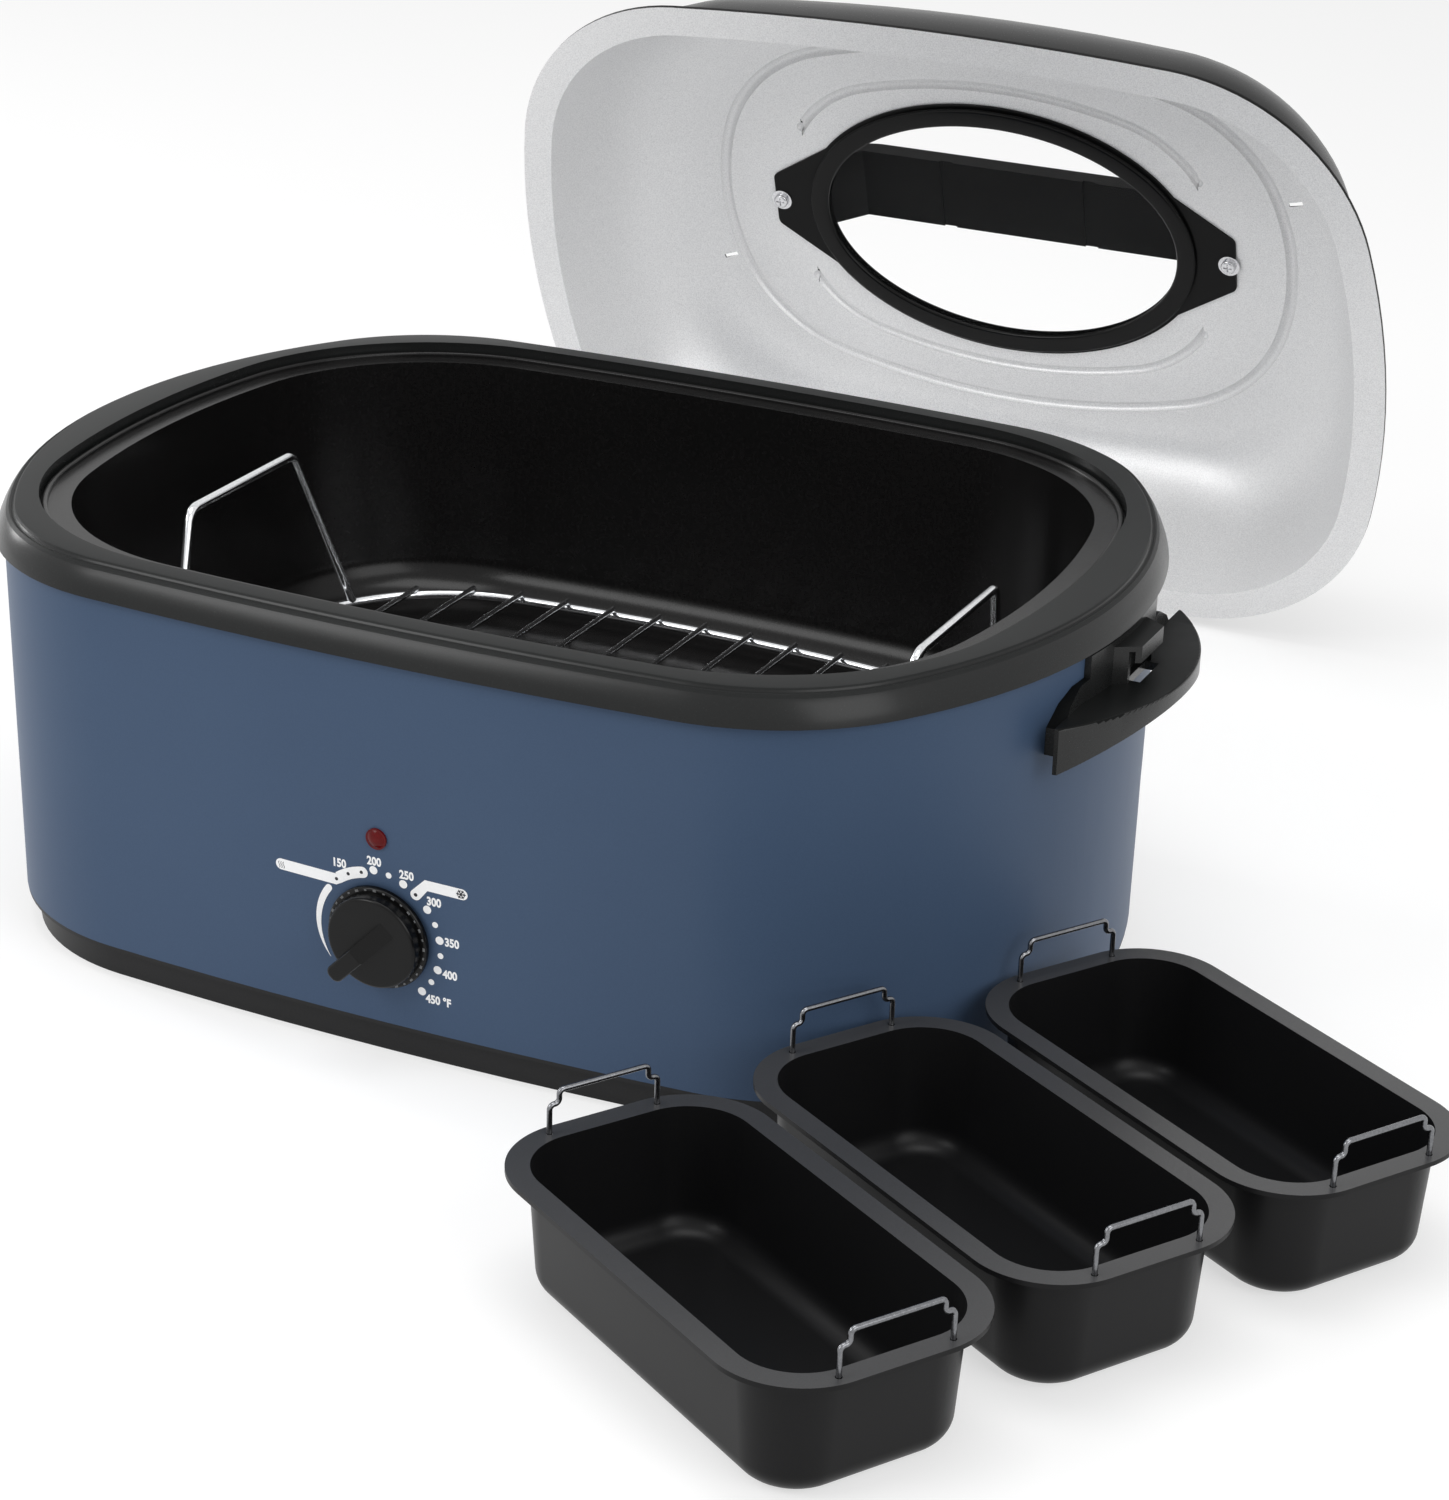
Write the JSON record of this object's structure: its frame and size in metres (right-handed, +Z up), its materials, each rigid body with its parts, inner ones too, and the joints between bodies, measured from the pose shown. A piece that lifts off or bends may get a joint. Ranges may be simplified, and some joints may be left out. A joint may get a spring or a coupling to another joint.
{
  "type": "electric roaster oven",
  "caption": "Oval electric roaster oven with lift-out pan and rack, windowed lid, thermostat knob, side handles and loose buffet pans with wire bails.",
  "frame": {"origin": "centre of the base tray's flat underside, at table level", "axes": "+Z up, +X to the right along the oval's length, -Y towards the control knob at the front"},
  "size_m": [0.79, 1.0332, 0.3664],
  "materials": {
    "shell_paint": "satin",
    "black_tray": "satin",
    "rim_plastic": "satin",
    "black_plastic": "satin",
    "rubber": "matte",
    "zinc_steel": "satin",
    "screw_steel": "polished",
    "aluminised_steel": "satin",
    "pan_steel": "satin",
    "black_enamel": "gloss",
    "insulation": "matte",
    "element_sheath": "satin",
    "bakelite": "satin",
    "copper_bulb": "satin",
    "lens_red": "polished",
    "lamp_glass": "polished",
    "wire_cover": "satin",
    "rack_chrome": "polished",
    "lid_enamel": "gloss",
    "window_glass": "polished",
    "gasket_rubber": "satin",
    "buffet_coat": "satin",
    "bail_wire": "polished"
  },
  "bodies": {
    "housing": {"outer_shell": "shell_paint", "base_tray": "black_tray", "rubber_pads": "rubber", "base_screws": "screw_steel", "base_brackets": "zinc_steel", "heat_shield": "aluminised_steel", "top_rim": "rim_plastic", "cooking_well": "pan_steel", "insulation_wrap": "insulation", "heating_element": "element_sheath", "element_clips": "zinc_steel", "thermostat_body": "bakelite", "thermostat_bracket": "zinc_steel", "thermostat_bulb": "copper_bulb", "indicator_lens": "lens_red", "neon_lamp": "lamp_glass", "cord_gland": "rubber", "terminal_block": "bakelite", "wiring_leads": "wire_cover", "left_handle": "black_plastic", "right_handle": "black_plastic", "handle_screws": "screw_steel"},
    "knob": {"control_knob": "black_plastic", "knob_shaft": "screw_steel"},
    "lid": {"lid_shell": "lid_enamel", "lid_inner_plate": "black_tray", "window_gasket": "gasket_rubber", "lid_glass": "window_glass", "lid_handle": "black_plastic", "lid_screws": "screw_steel", "lid_washers": "screw_steel"},
    "insert_pan": {"insert_pan": "black_enamel"},
    "rack": {"roasting_rack": "rack_chrome", "rack_grid": "rack_chrome", "rack_left_handle": "rack_chrome", "rack_right_handle": "rack_chrome"},
    "buffet_pan_left": {"buffet_pan_left": "buffet_coat"},
    "bail_left_back": {"bail_left_back": "bail_wire"},
    "bail_left_front": {"bail_left_front": "bail_wire"},
    "buffet_pan_middle": {"buffet_pan_middle": "buffet_coat"},
    "bail_middle_back": {"bail_middle_back": "bail_wire"},
    "bail_middle_front": {"bail_middle_front": "bail_wire"},
    "buffet_pan_right": {"buffet_pan_right": "buffet_coat"},
    "bail_right_back": {"bail_right_back": "bail_wire"},
    "bail_right_front": {"bail_right_front": "bail_wire"}
  },
  "joints": [
    {"name": "knob_turn", "type": "hinge", "parent": "housing", "child": "knob", "pos_m": [0, -0.19713, 0.063], "axis": [0, 0.998, 0.0638], "range_deg": [0, 270]},
    {"name": "lid_swing", "type": "hinge", "parent": "housing", "child": "lid", "pos_m": [0, 0.20172, -0.11575], "axis": [-1, 0, 0], "range_deg": [-71, 0]},
    {"name": "insert_pan_lift", "type": "slide", "parent": "housing", "child": "insert_pan", "axis": [0, 0, 1], "range_m": [0, 0.2]},
    {"name": "rack_lift", "type": "slide", "parent": "insert_pan", "child": "rack", "axis": [0, 0, 1], "range_m": [0, 0.2]},
    {"name": "buffet_pan_left_lift", "type": "slide", "parent": "housing", "child": "buffet_pan_left", "axis": [0, 0, 1], "range_m": [0, 0.06]},
    {"name": "bail_left_back_drop", "type": "slide", "parent": "buffet_pan_left", "child": "bail_left_back", "axis": [0, 0, 1], "range_m": [-0.01, 0]},
    {"name": "bail_left_front_drop", "type": "slide", "parent": "buffet_pan_left", "child": "bail_left_front", "axis": [0, 0, 1], "range_m": [-0.01, 0]},
    {"name": "buffet_pan_middle_lift", "type": "slide", "parent": "housing", "child": "buffet_pan_middle", "axis": [0, 0, 1], "range_m": [0, 0.06]},
    {"name": "bail_middle_back_drop", "type": "slide", "parent": "buffet_pan_middle", "child": "bail_middle_back", "axis": [0, 0, 1], "range_m": [-0.01, 0]},
    {"name": "bail_middle_front_drop", "type": "slide", "parent": "buffet_pan_middle", "child": "bail_middle_front", "axis": [0, 0, 1], "range_m": [-0.01, 0]},
    {"name": "buffet_pan_right_lift", "type": "slide", "parent": "housing", "child": "buffet_pan_right", "axis": [0, 0, 1], "range_m": [0, 0.06]},
    {"name": "bail_right_back_drop", "type": "slide", "parent": "buffet_pan_right", "child": "bail_right_back", "axis": [0, 0, 1], "range_m": [-0.01, 0]},
    {"name": "bail_right_front_drop", "type": "slide", "parent": "buffet_pan_right", "child": "bail_right_front", "axis": [0, 0, 1], "range_m": [-0.01, 0]}
  ]
}
